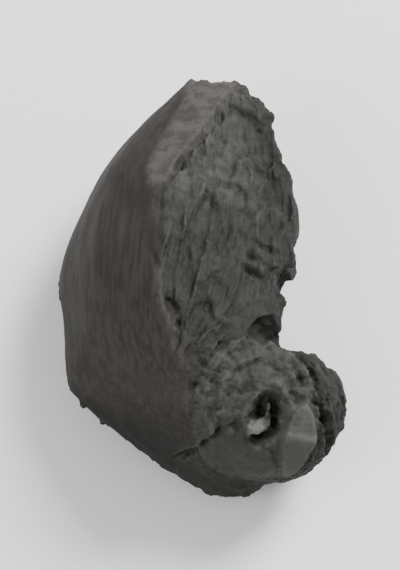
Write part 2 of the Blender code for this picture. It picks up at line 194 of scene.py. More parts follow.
@dataclass
class Knot:
    """The burl on the near right corner, with a dark gap round its core."""

    centre: Vector
    axis: Vector
    half_sizes: Corner
    radius: float
    seat: Vector
    gap: Oval
    core: Oval
    heel: Oval
    gap_depth: float = 5.0
    core_rise: float = 0.85
    ragged_size: float = 1.7
    ragged_height: float = 0.12
    gap_reach: Pair = (-9.0, -6.0)
    stretch: float = 1.25
    flare: float = 45.0
    rim: float = 0.5
    least_reach: float = 1.0

    def __post_init__(self) -> None:
        """Works out the knot's directions: across the grain, along it, and out of the wood."""
        out = self.axis.normalized()
        along = (Vector((0, 1, 0)) - out * out.y).normalized()
        self.turn = Matrix((along.cross(out), along, out)).transposed()
        self.back = self.turn.transposed()

    def place(self, point: Vector) -> Vector:
        """The point in the knot's own directions, from its core."""
        return self.back @ (point - self.seat)

    def distance(self, local: Vector) -> float:
        """How far a place in the knot's directions lies from its axis."""
        return math.hypot(local.x, local.y / self.stretch)

    def reach(self, local: Vector) -> float:
        """How far the knot's own wood reaches at this height."""
        return max(self.least_reach, self.radius * (1 + local.z / self.flare))

    def share(self, point: Vector) -> float:
        """1 inside the knot's own wood, 0 in the wood that flows round it."""
        local = self.place(point)
        reach = self.reach(local)
        return 1 - ramp(self.distance(local), reach - self.rim, reach + self.rim)

    def burl(self) -> bpy.types.Object:
        """The rounded body of the knot."""
        return ball("burl", self.centre, self.half_sizes, self.turn)

    def depth(self, local: Vector) -> float:
        """How deep the dark gap round the core is.

        Args:
            local: A place in the knot's directions, from its core.

        Returns:
            The depth under the knot's face, in millimetres.
        """
        ragged = noise.noise(local / self.ragged_size) * self.ragged_height
        inside = self.gap.share(local, ragged)
        filled = max(self.core.share(local, -ragged) * self.core_rise, self.heel.share(local))
        return self.gap_depth * (1 - filled) * inside * ramp(local.z, *self.gap_reach)


def ball(name: str, centre: Vector, half_sizes: Corner, turn: Matrix | None = None) -> bpy.types.Object:
    """A stretched ball, for the burl and for the bites.

    Args:
        name: The object's name.
        centre: Its middle.
        half_sizes: Half its size along each of its own directions.
        turn: Its own directions, or none where they are the lump's.

    Returns:
        The ball, in place.
    """
    shape = bmesh.new()
    bmesh.ops.create_icosphere(shape, subdivisions=BALL_FINENESS, radius=1.0)
    bmesh.ops.scale(shape, verts=shape.verts, vec=half_sizes)
    place = Matrix.Translation(centre)
    if turn is not None:
        place = place @ turn.to_4x4()
    bmesh.ops.transform(shape, verts=shape.verts, matrix=place)
    return object_of(name, shape)


@dataclass
class Chunk:
    """The lump's main form: the corners of the broken chunk, the burl and the bites.

    A pair is where a share starts to change and where it stops. The sides and the band's ridge are
    in millimetres, its near and far are in lengths of its edge, and the rest says how far the
    surface faces that way.
    """

    knot: Knot
    ridge: list[Corner]
    band_edge: list[Corner]
    corners: list[Corner]
    bites: list[tuple[Corner, Corner]]

    bark_side: Pair = (-1.9, -0.1)
    bark_lowest: float = -0.35
    bark_lowest_run: float = 0.3
    bark_ends: Pair = (0.82, 0.96)
    rim_lowest: float = -0.75
    band_side: Pair = (-0.6, 0.8)
    band_ridge: Pair = (-1.4, 0.0)
    band_near: Pair = (-0.08, 0.06)
    band_far: Pair = (1.25, 1.45)
    band_facing: Pair = (0.3, 0.5)

    def build(self) -> bpy.types.Object:
        """The whole form before its surface is roughened."""
        shape = bmesh.new()
        for corner in self.ridge + self.band_edge + self.corners:
            shape.verts.new(corner)
        made = bmesh.ops.convex_hull(shape, input=shape.verts)
        inside = [v for v in made["geom_interior"] if isinstance(v, bmesh.types.BMVert)]
        bmesh.ops.delete(shape, geom=inside, context="VERTS")
        bmesh.ops.recalc_face_normals(shape, faces=shape.faces)
        base = object_of("lump", shape)
        combine(base, self.knot.burl(), Joining.ADD)
        for centre, half_sizes in self.bites:
            combine(base, ball("bite", Vector(centre), half_sizes), Joining.CUT)
        return base

    def ridge_x(self, y: float) -> float:
        """Where the smooth face ends and the torn face starts, at this place along the grain."""
        if y >= self.ridge[0][1]:
            return self.ridge[0][0]
        for high, low in zip(self.ridge, self.ridge[1:]):
            if y >= low[1]:
                share = (high[1] - y) / (high[1] - low[1])
                return high[0] + (low[0] - high[0]) * share
        return self.ridge[-1][0]

    def smooth_share(self, point: Vector, normal: Vector, lowest: float) -> float:
        """How far a place belongs to the smooth outside of the branch.

        Args:
            point: The place.
            normal: The way the surface faces there.
            lowest: How far down the surface may face before the smooth outside ends.

        Returns:
            1 on the smooth outside, 0 off it.
        """
        left = ramp(self.ridge_x(point.y) - point.x, *self.bark_side)
        upper = ramp(normal.z, lowest, lowest + self.bark_lowest_run)
        ends = 1 - ramp(abs(normal.y), *self.bark_ends)
        return left * upper * ends

    def bark_share(self, point: Vector, normal: Vector) -> float:
        """How far a place belongs to the smooth face, which ends where the surface turns down."""
        return self.smooth_share(point, normal, self.bark_lowest)

    def rim_share(self, point: Vector, normal: Vector) -> float:
        """How far a place belongs to the smooth face or to the worn rim under it."""
        return self.smooth_share(point, normal, self.rim_lowest)

    def band_share(self, point: Vector, normal: Vector) -> float:
        """How far a place belongs to the smooth strip beside the ridge, at the far end."""
        low, high = self.band_edge[1], self.band_edge[0]
        share = (point.y - low[1]) / (high[1] - low[1])
        edge_x = low[0] + (high[0] - low[0]) * share
        inside = ramp(edge_x - point.x, *self.band_side)
        inside *= ramp(point.x - self.ridge_x(point.y), *self.band_ridge)
        ends = ramp(share, *self.band_near) * (1 - ramp(share, *self.band_far))
        return inside * ends * ramp(normal.z, *self.band_facing)


@dataclass
class Cracks:
    """Cracks and tears that show from a step away: start, end, half width, depth.

    Each wavers, and loses the taper's share of its depth at its ends. The floor is in
    millimetres, and the slope and the reach are counted in half widths.
    """

    rows: list[tuple[Corner, Corner, float, float]]
    waver_size: float = 2.2
    waver_height: float = 0.35
    taper: float = 0.6
    floor: float = 0.1
    slope: float = 1.9
    reach: float = 4.0

    def depths(self, points: np.ndarray) -> np.ndarray:
        """How deep the cracks cut.

        Args:
            points: Places on the surface, one row each.

        Returns:
            The depth at each place.
        """
        deepest = np.zeros(len(points))
        for start, end, half_width, depth in self.rows:
            first, run = np.array(start), np.array(end) - np.array(start)
            share = np.clip((points - first) @ run / (run @ run), 0, 1)
            away = np.linalg.norm(points - first - share[:, None] * run, axis=1)
            for index in np.nonzero(away < half_width * self.reach)[0]:
                waver = noise.noise(Vector(points[index]) / self.waver_size) * self.waver_height
                taper = 1 - self.taper * abs(share[index] * 2 - 1) ** 3
                slope = ramp(away[index] + waver, self.floor, half_width * self.slope)
                deepest[index] = max(deepest[index], depth * taper * (1 - slope))
        return deepest


@dataclass
class Wood:
    """The relief of broken charcoal.

    Sizes, heights, depths and steps are in millimetres, and pairs of sizes are across and along
    the grain. The widths of seams, checks, rays and grooves, and the size of a pit, are in their
    pattern's own measure. A wander is its size and its height, and the tongue's step its place and
    its height. A calm is the share of the other relief that is lost there. Facings, tops, starts,
    sides, rims, ends and patches are where a share starts to change and where it stops.
    """

    knot: Knot

    # the whole lump
    swell_size: float = 14.0
    swell_height: float = 1.1

    # the smooth outside
    ripple_sizes: Pair = (3.4, 15.0)
    ripple_height: float = 0.22
    pit_spacing: float = 4.6
    pit_size: float = 0.16
    pit_depth: float = 0.35
    bark_calm: float = 0.6

    # the torn wood
    plate_sizes: Pair = (4.6, 10.0)
    plate_step: float = 0.46
    splinter_sizes: Pair = (1.9, 7.0)
    splinter_step: float = 0.22
    splinter_shift: Corner = (31.0, 17.0, 5.0)
    step_slope: float = 0.15
    step_lean: float = 1.6
    level_seed: float = 7.31
    level_shift: Corner = (0.37, 0.11, 0.53)
    lean_seed: float = 3.7
    seam_width: float = 0.14
    seam_depth: float = 0.16
    bump_sizes: Pair = (4.4, 6.4)
    bump_height: float = 0.55

    # breaks across the grain
    pith: Pair = (10.0, -4.0)
    ring_step: float = 2.3
    ring_height: float = 0.22
    ring_wander: Pair = (9.0, 1.2)
    check_count: float = 5.0
    check_length: float = 30.0
    check_seed: float = 3.3
    check_width: float = 0.07
    check_depth: float = 0.7
    end_facing: Pair = (0.7, 0.92)
    end_calm: float = 0.6

    # the plainer near end
    front_facing: Pair = (0.2, 0.55)
    front_top: Pair = (-26.0, -20.0)
    front_start: Pair = (24.0, 31.0)
    front_calm: float = 0.85

    # the knot, and the crack along its right side
    knot_shift: float = 60.0
    knot_ring_step: float = 2.7
    knot_ring_height: float = 0.40
    knot_wander: Pair = (5.0, 0.9)
    knot_roughness: float = 0.45
    ray_count: float = 2.6
    ray_length: float = 16.0
    ray_width: float = 0.09
    ray_start: Pair = (3.5, 6.0)
    ray_depth: float = 0.55
    knot_crack_side: Pair = (2.0, 6.0)
    knot_crack_middle: float = 3.0
    knot_crack_ends: Pair = (6.5, 9.5)
    knot_crack_rim: Pair = (0.2, 1.2)
    knot_crack_depth: float = 1.6

    # the smooth plate beside the core
    tongue_middle: Pair = (7.6, -3.6)
    tongue_half_sizes: Pair = (3.5, 7.4)
    tongue_taper: float = 0.5
    tongue_rim: Pair = (0.8, 1.05)
    tongue_lift: float = 1.1
    tongue_border: float = 0.8
    tongue_rings: float = 0.3
    tongue_step: Pair = (-3.0, 0.5)
    tongue_step_width: float = 0.9

    # what only shows close up
    fibre_sizes: Pair = (1.1, 15.0)
    fibre_width: float = 0.16
    fibre_depth: float = 0.16
    strand_sizes: Pair = (0.65, 9.0)
    strand_height: float = 0.13
    split_sizes: Pair = (5.2, 2.1)
    split_shift: Corner = (3.0, 8.0, 1.0)
    split_width: float = 0.07
    split_depth: float = 0.22
    split_patch_size: float = 5.5
    split_patch: Pair = (-0.15, 0.3)
    chip_sizes: Pair = (1.0, 6.0)
    chip_shift: Corner = (7.0, 3.0, 11.0)
    chip_step: float = 0.12
    fine_knot_calm: float = 0.3
    fine_tongue_calm: float = 0.5
    fine_front_calm: float = 0.2
    strand_bark_calm: float = 0.75
    rough_bark_calm: float = 0.95

    def grain(self, point: Vector) -> Vector:
        """The point in the wood's own directions: Y runs along the fibres, which bow round the knot."""
        local = self.knot.place(point)
        distance = self.knot.distance(local)
        reach = self.knot.reach(local)
        if distance < reach:
            return Vector((local.x, local.z + self.knot_shift, local.y))
        pull = (reach / distance) ** 2
        return point + self.knot.turn @ Vector((-local.x * pull, local.y * pull, 0))

    def bumps(self, place: Vector, sizes: Pair) -> float:
        """Soft bumps of these sizes across and along the grain, from -1 to 1."""
        across, along = sizes
        return noise.noise(Vector((place.x / across, place.y / along, place.z / across)))

    def plates(self, place: Vector, sizes: Pair) -> Pair:
        """Broken plates along the grain.

        Args:
            place: The place, in the wood's own directions.
            sizes: How wide and how long the plates are.

        Returns:
            The level at the place, and how far it is from the nearest plate's border.
        """
        across, along = sizes
        spot = Vector((place.x / across, place.y / along, place.z / across))
        distances, centres = noise.voronoi(spot)
        total, weights = 0.0, 0.0
        for distance, centre in zip(distances, centres):
            weight = clamp(1 - (distance - distances[0]) / self.step_slope) ** 2
            if weight > 0:
                level = noise.cell(centre * self.level_seed + Vector(self.level_shift)) * 2 - 1
                lean = noise.noise(centre * self.lean_seed) * (spot - centre).x * self.step_lean
                total += (level + lean) * weight
                weights += weight
        return total / weights, distances[1] - distances[0]

    def torn(self, place: Vector) -> float:
        """Height of the torn wood: plates, the splinters on them and cracks between them."""
        level, border = self.plates(place, self.plate_sizes)
        fine, _ = self.plates(place + Vector(self.splinter_shift), self.splinter_sizes)
        height = level * self.plate_step + fine * self.splinter_step
        height -= (1 - ramp(border, 0.0, self.seam_width)) * self.seam_depth
        return height + self.bumps(place, self.bump_sizes) * self.bump_height

    def end(self, point: Vector) -> float:
        """Height of a break across the grain: growth rings and checks that run out from the pith."""
        x, z = point.x - self.pith[0], point.z - self.pith[1]
        radius, angle = math.hypot(x, z), math.atan2(z, x)
        size, height = self.ring_wander
        wander = noise.noise(point / size) * height
        rings = math.cos((radius + wander) * math.tau / self.ring_step) * self.ring_height
        spot = Vector((angle * self.check_count, radius / self.check_length, self.check_seed))
        return rings - (1 - ramp(abs(noise.noise(spot)), 0.0, self.check_width)) * self.check_depth

    def bark(self, place: Vector) -> float:
        """Height of the smooth outside: long low ripples and a few small pits."""
        distances, _ = noise.voronoi(place / self.pit_spacing)
        pit = (1 - ramp(distances[0], 0.0, self.pit_size)) * self.pit_depth
        return self.bumps(place, self.ripple_sizes) * self.ripple_height - pit

    def tongue_share(self, local: Vector) -> float:
        """How far a place lies on the smooth plate beside the core, which narrows downwards."""
        across = (local.x - self.tongue_middle[0]) / self.tongue_half_sizes[0]
        along = (local.y - self.tongue_middle[1]) / self.tongue_half_sizes[1]
        reach = math.hypot(across * (1 - min(along, 0) * self.tongue_taper), along)
        return 1 - ramp(reach, *self.tongue_rim)

    def on_knot(self, point: Vector, rough: float, calm: float) -> float:
        """Height on the knot: rings round the core, the plate beside it and the crack past that.

        Args:
            point: The place.
            rough: The torn wood's height there.
            calm: How much of the rings and rays shows there.

        Returns:
            The height.
        """
        local = self.knot.place(point)
        size, wander = self.knot_wander
        distance = self.knot.distance(local) + noise.noise(point / size) * wander
        rings = math.cos(distance * math.tau / self.knot_ring_step) * self.knot_ring_height * calm
        side = ramp(local.x, *self.knot_crack_side)
        side *= 1 - ramp(abs(local.y - self.knot_crack_middle), *self.knot_crack_ends)
        border = 1 - ramp(abs(distance - self.knot.radius), *self.knot_crack_rim)
        angle = math.atan2(local.y / self.knot.stretch, local.x)
        round_x, round_y = math.cos(angle) * self.ray_count, math.sin(angle) * self.ray_count
        ray = abs(noise.noise(Vector((round_x, round_y, distance / self.ray_length))))
        rays = (1 - ramp(ray, 0.0, self.ray_width)) * ramp(distance, *self.ray_start)
        rays = rays * self.ray_depth * calm
        height = rings + rough * self.knot_roughness - rays
        tongue = self.tongue_share(local)
        level, lift = self.tongue_step
        step = math.exp(-(((local.y - level) / self.tongue_step_width) ** 2)) * lift
        height += (self.tongue_lift + rings * self.tongue_rings + step - height) * tongue
        height -= 4 * tongue * (1 - tongue) * self.tongue_border
        return height - border * side * self.knot_crack_depth

    def height(self, point: Vector, normal: Vector, bark: float) -> float:
        """How far the broken surface stands out, without its cracks.

        Args:
            point: The place.
            normal: The way the surface faces there.
            bark: How far the place belongs to the smooth face.

        Returns:
            The height in millimetres.
        """
        place = self.grain(point)
        knot = self.knot.share(point)
        swell = noise.noise(point / self.swell_size) * self.swell_height * (1 - bark * self.bark_calm)
        across = ramp(abs(normal.y), *self.end_facing) * (1 - knot)
        rough = self.torn(place)
        rough += (self.end(point) - rough * self.end_calm) * across
        calm = 1 - self.front_share(point, normal) * self.front_calm
        rough *= calm
        rough += (self.on_knot(point, rough, calm) - rough) * knot
        whole = swell + rough * (1 - bark) + self.bark(place) * bark
        return whole - self.knot.depth(self.knot.place(point))

    def front_share(self, point: Vector, normal: Vector) -> float:
        """How far a place lies on the plainer near end, under the knot's face."""
        facing = ramp(-normal.y, *self.front_facing)
        return facing * ramp(-point.z, *self.front_top) * ramp(-point.y, *self.front_start)

    def grooves(self, place: Vector, sizes: Pair, width: float) -> float:
        """Thin wavering grooves, from 0 between them to 1 at their floor."""
        return 1 - ramp(abs(self.bumps(place, sizes)), 0.0, width)

    def fine_height(self, point: Vector, normal: Vector, bark: float) -> float:
        """The strands, fibres, short cross splits and chips that only show close up.

        Args:
            point: The place.
            normal: The way the surface faces there.
            bark: How far the place belongs to the smooth face.

        Returns:
            The height in millimetres.
        """
        place = self.grain(point)
        knot = self.knot.share(point)
        tongue = knot * self.tongue_share(self.knot.place(point))
        front = self.front_share(point, normal)
        calm = (1 - knot * self.fine_knot_calm) * (1 - tongue * self.fine_tongue_calm)
        calm *= 1 - front * self.fine_front_calm
        patch = ramp(noise.noise(point / self.split_patch_size), *self.split_patch)
        fibres = self.grooves(place, self.fibre_sizes, self.fibre_width) * self.fibre_depth
        shifted = place + Vector(self.split_shift)
        splits = self.grooves(shifted, self.split_sizes, self.split_width) * self.split_depth * patch
        strands = self.bumps(place, self.strand_sizes) * self.strand_height
        chips, _ = self.plates(place + Vector(self.chip_shift), self.chip_sizes)
        rough = chips * self.chip_step - fibres - splits
        strands *= 1 - bark * self.strand_bark_calm
        return strands + rough * calm * (1 - bark * self.rough_bark_calm)


@dataclass(frozen=True)
class Cloud:
    """A cloudy pattern: its clouds to a unit, its finer layers and how strong those are."""

    scale: float
    detail: float
    roughness: float


@dataclass(frozen=True)
class CharcoalFinish:
    """Dull, dusty grey-black charcoal, with the grain in its bump and its gloss.

    The fibres and streaks follow the grain, stretched across it, along it and across it, and
    count to a millimetre. The other clouds count to a metre. A spread is where in its pattern the
    second colour starts and is full, and a share how much of a colour then shows. Depths are in
    millimetres under the evened-out surface, and the bump's height is in metres.
    """

    torn_dark: Colour = (0.030, 0.030, 0.027)
    torn_light: Colour = (0.051, 0.050, 0.0455)
    torn_pale: Colour = (0.066, 0.064, 0.058)
    bark_dark: Colour = (0.0234, 0.0208, 0.0182)
    bark_light: Colour = (0.0372, 0.0340, 0.0295)
    rust: Colour = (0.039, 0.0305, 0.0260)
    band_dark: Colour = (0.046, 0.042, 0.038)
    band_light: Colour = (0.072, 0.066, 0.060)
    front: Colour = (0.0345, 0.0355, 0.0302)
    # painted shade for the crevices
    painted_crevice_shade: Colour = (0.010, 0.010, 0.010)
    # the colour of the painted shade on the near end, right edge and lower rim, and of the far-end
    # darkening
    soot: Colour = (0.008, 0.008, 0.0075)
    dust: Colour = (0.085, 0.083, 0.077)
    # a pale colour, for the plate beside the core and a spot on the core's lower end
    pale_mark: Colour = (0.130, 0.130, 0.122)

    mottle: Cloud = Cloud(420.0, 5.0, 0.6)
    crumbs: Cloud = Cloud(1500.0, 4.0, 0.65)
    pale_patches: Cloud = Cloud(210.0, 3.0, 0.6)
    rust_patches: Cloud = Cloud(130.0, 3.0, 0.5)
    fibres: Cloud = Cloud(1.0, 5.0, 0.6)
    fibre_stretch: Corner = (2.6, 0.16, 2.6)
    streaks: Cloud = Cloud(1.0, 3.0, 0.5)
    streak_stretch: Corner = (0.9, 0.07, 0.9)

    torn_spread: Pair = (0.36, 0.66)
    fibre_spread: Pair = (0.35, 0.75)
    pale_spread: Pair = (0.50, 0.64)
    streak_spread: Pair = (0.35, 0.68)
    rust_spread: Pair = (0.5, 0.68)
    band_spread: Pair = (0.38, 0.62)
    crumb_spread: Pair = (0.35, 0.6)
    gloss_spread: Pair = (0.3, 0.7)
    # the depths where the crevices' painted shade starts and is full
    crevice_shade_depth: Pair = (0.08, 0.6)
    ridge_depth: Pair = (-0.08, -0.40)

    fibre_share: float = 0.4
    pale_share: float = 0.5
    rust_share: float = 0.4
    band_share: float = 0.85
    # how much of the crevices' painted shade shows
    crevice_shade_share: float = 0.26
    # how much of the painted shade and the far-end darkening shows
    painted_shade_and_darkening_share: float = 0.55
    dust_share: float = 0.26

    torn_roughness: Pair = (0.52, 0.72)
    bark_roughness: float = 0.62
    sheen: float = 0.1
    fibre_bump: float = 0.55
    crumb_bump: float = 0.35
    mottle_bump: float = 0.3
    bark_bump: float = 0.35
    bump_height: float = 0.00022

    def material(self) -> bpy.types.Material:
        """The finish as a material that reads the surface's traits."""
        material = bpy.data.materials.new("charcoal")
        material.use_nodes = True
        make = Maker(material)
        spots = make.position()
        grain = make.trait_vector(Trait.GRAIN)
        mottle = make.noise(spots, self.mottle)
        crumbs = make.noise(spots, self.crumbs)
        fibres = make.noise(make.stretch(grain, self.fibre_stretch), self.fibres)
        streaks = make.noise(make.stretch(grain, self.streak_stretch), self.streaks)

        torn = self.torn_colour(make, spots, mottle, fibres)
        smooth_face = self.bark_colour(make, spots, streaks)
        band = make.blend(make.spread(mottle, *self.band_spread), self.band_dark, self.band_light)
        colour = make.blend(make.trait(Trait.FRONT), torn, self.front)
        colour = make.blend(make.trait(Trait.BARK), colour, smooth_face)
        colour = make.blend(make.scale(make.trait(Trait.BAND), self.band_share), colour, band)
        colour = self.shaded_and_dirtied(make, colour, crumbs)

        make.finish(
            colour,
            self.roughness(make, fibres),
            make.bump(self.relief(make, fibres, crumbs, mottle), self.bump_height),
            self.sheen,
        )
        return material

    def torn_colour(self, make: "Maker", spots: Socket, mottle: Socket, fibres: Socket) -> Socket:
        """Mottled grey with paler fibres and pale patches.

        Args:
            make: The material's maker.
            spots: The place on the object.
            mottle: The coarse mottle.
            fibres: The pattern of fibres.

        Returns:
            The colour of the torn wood.
        """
        torn = make.blend(make.spread(mottle, *self.torn_spread), self.torn_dark, self.torn_light)
        pale_fibres = make.scale(make.spread(fibres, *self.fibre_spread), self.fibre_share)
        torn = make.blend(pale_fibres, torn, self.torn_light)
        patches = make.spread(make.noise(spots, self.pale_patches), *self.pale_spread)
        return make.blend(make.scale(patches, self.pale_share), torn, self.torn_pale)

    def bark_colour(self, make: "Maker", spots: Socket, streaks: Socket) -> Socket:
        """Streaked brownish grey with rusty patches.

        Args:
            make: The material's maker.
            spots: The place on the object.
            streaks: The pattern of streaks.

        Returns:
            The colour of the smooth face.
        """
        face = make.blend(make.spread(streaks, *self.streak_spread), self.bark_dark, self.bark_light)
        patches = make.spread(make.noise(spots, self.rust_patches), *self.rust_spread)
        return make.blend(make.scale(patches, self.rust_share), face, self.rust)

    def shaded_and_dirtied(self, make: "Maker", colour: Socket, crumbs: Socket) -> Socket:
        """Adds painted shade in the crevices and on the near end, the right edge and the lower rim, a
        darkening at the far end, the pale marks on the knot, and dust on the ridges.

        Args:
            make: The material's maker.
            colour: The clean colour.
            crumbs: The pattern of crumbs.

        Returns:
            The colour with its dirt.
        """
        hollow = make.trait(Trait.HOLLOW)
        # painted shade: darker where the surface lies deep under its evened-out self
        crevice_shade_mask = make.scale(make.spread(hollow, *self.crevice_shade_depth), self.crevice_shade_share)
        colour = make.blend(crevice_shade_mask, colour, self.painted_crevice_shade)
        # painted shade on the near end, the right edge and the lower rim, and a darkening towards the
        # far end
        colour = make.blend(make.scale(make.trait(Trait.PAINTED_SHADE_AND_DARKENING), self.painted_shade_and_darkening_share), colour, self.soot)
        colour = make.blend(make.trait(Trait.PALE), colour, self.pale_mark)
        ridges = make.scale(make.spread(hollow, *self.ridge_depth), self.dust_share)
        dust = make.multiply(ridges, make.spread(crumbs, *self.crumb_spread))
        return make.blend(dust, colour, self.dust)

    def roughness(self, make: "Maker", fibres: Socket) -> Socket:
        """How dull the surface is: uneven on the torn wood, even on the smooth face."""
        torn = make.blend_value(make.spread(fibres, *self.gloss_spread), *self.torn_roughness)
        return make.blend_value(make.trait(Trait.BARK), torn, self.bark_roughness)

    def relief(self, make: "Maker", fibres: Socket, crumbs: Socket, mottle: Socket) -> Socket:
        """The finest relief, fainter on the smooth face.

        Args:
            make: The material's maker.
            fibres: The pattern of fibres.
            crumbs: The pattern of crumbs.
            mottle: The coarse mottle.

        Returns:
            The height that the bump reads.
        """
        grit = make.add(make.scale(crumbs, self.crumb_bump), make.scale(mottle, self.mottle_bump))
        height = make.add(make.scale(fibres, self.fibre_bump), grit)
        return make.multiply(height, make.blend_value(make.trait(Trait.BARK), 1.0, self.bark_bump))


class Maker:
    """Builds the node tree of one material, a node at a time."""

    def __init__(self, material: bpy.types.Material) -> None:
        """Starts with the material's own surface shader."""
        self.tree = material.node_tree
        self.surface = self.tree.nodes["Principled BSDF"]

    def node(self, kind: str) -> bpy.types.Node:
        """A new node of this kind."""
        return self.tree.nodes.new(kind)

    def feed(self, socket: Socket, value: object) -> None:
        """Sets a socket to a value, or links it to another node's output.

        Args:
            socket: The input that is set.
            value: A number, a colour or an output.
        """
        if isinstance(value, Socket):
            self.tree.links.new(value, socket)
        elif isinstance(value, tuple) and socket.type == "RGBA":
            socket.default_value = (*value, 1.0)
        else:
            socket.default_value = value

    def position(self) -> Socket:
        """The place on the object, in metres."""
        return self.node("ShaderNodeTexCoord").outputs["Object"]

    def trait(self, trait: Trait) -> Socket:
        """The number that the surface carries under this name."""
        node = self.node("ShaderNodeAttribute")
        node.attribute_name = trait.value
        return node.outputs["Fac"]

    def trait_vector(self, trait: Trait) -> Socket:
        """The vector that the surface carries under this name."""
        node = self.node("ShaderNodeAttribute")
        node.attribute_name = trait.value
        return node.outputs["Vector"]

    def stretch(self, vector: Socket, scale: Corner) -> Socket:
        """The vector scaled along each direction."""
        node = self.node("ShaderNodeMapping")
        self.feed(node.inputs["Vector"], vector)
        node.inputs["Scale"].default_value = scale
        return node.outputs["Vector"]

    def noise(self, vector: Socket, cloud: Cloud) -> Socket:
        """A cloudy pattern, from 0 to 1, read at the vector."""
        node = self.node("ShaderNodeTexNoise")
        self.feed(node.inputs["Vector"], vector)
        node.inputs["Scale"].default_value = cloud.scale
        node.inputs["Detail"].default_value = cloud.detail
        node.inputs["Roughness"].default_value = cloud.roughness
        return node.outputs["Fac"]

    def spread(self, value: Socket, low: float, high: float) -> Socket:
        """The value stretched so that low gives 0 and high gives 1, and held there."""
        node = self.node("ShaderNodeMapRange")
        node.interpolation_type = "SMOOTHSTEP"
        self.feed(node.inputs["Value"], value)
        swap = low > high
        node.inputs["From Min"].default_value = min(low, high)
        node.inputs["From Max"].default_value = max(low, high)
        node.inputs["To Min"].default_value = 1.0 if swap else 0.0
        node.inputs["To Max"].default_value = 0.0 if swap else 1.0
        return node.outputs["Result"]

    def math(self, operation: str, first: object, second: object) -> Socket:
        """One sum with two numbers."""
        node = self.node("ShaderNodeMath")
        node.operation = operation
        self.feed(node.inputs[0], first)
        self.feed(node.inputs[1], second)
        return node.outputs[0]

    def scale(self, value: Socket, by: float) -> Socket:
        """The value times a number."""
        return self.math("MULTIPLY", value, by)

    def multiply(self, first: object, second: object) -> Socket:
        """Two values multiplied."""
        return self.math("MULTIPLY", first, second)

    def add(self, first: object, second: object) -> Socket:
        """Two values added."""
        return self.math("ADD", first, second)

    def blend(self, share: object, first: object, second: object) -> Socket:
        """One colour turning into another.

        Args:
            share: How much of the second shows.
            first: The colour at 0.
            second: The colour at 1.

        Returns:
            The blended colour.
        """
        node = self.node("ShaderNodeMix")
        node.data_type = "RGBA"
        self.feed(node.inputs[0], share)
        self.feed(node.inputs[6], first)
        self.feed(node.inputs[7], second)
        return node.outputs[2]

    def blend_value(self, share: object, first: object, second: object) -> Socket:
        """One number turning into another."""
        node = self.node("ShaderNodeMix")
        self.feed(node.inputs[0], share)
        self.feed(node.inputs[2], first)
        self.feed(node.inputs[3], second)
        return node.outputs[0]

    def bump(self, height: Socket, distance: float) -> Socket:
        """A surface that looks raised by the height, up to the distance in metres."""
        node = self.node("ShaderNodeBump")
        node.inputs["Strength"].default_value = 1.0
        node.inputs["Distance"].default_value = distance
        self.feed(node.inputs["Height"], height)
        return node.outputs["Normal"]

    def finish(self, colour: Socket, roughness: Socket, normal: Socket, sheen: float) -> None:
        """Feeds the surface shader."""
        self.surface.inputs["Specular IOR Level"].default_value = sheen
        self.feed(self.surface.inputs["Base Color"], colour)
        self.feed(self.surface.inputs["Roughness"], roughness)
        self.feed(self.surface.inputs["Normal"], normal)


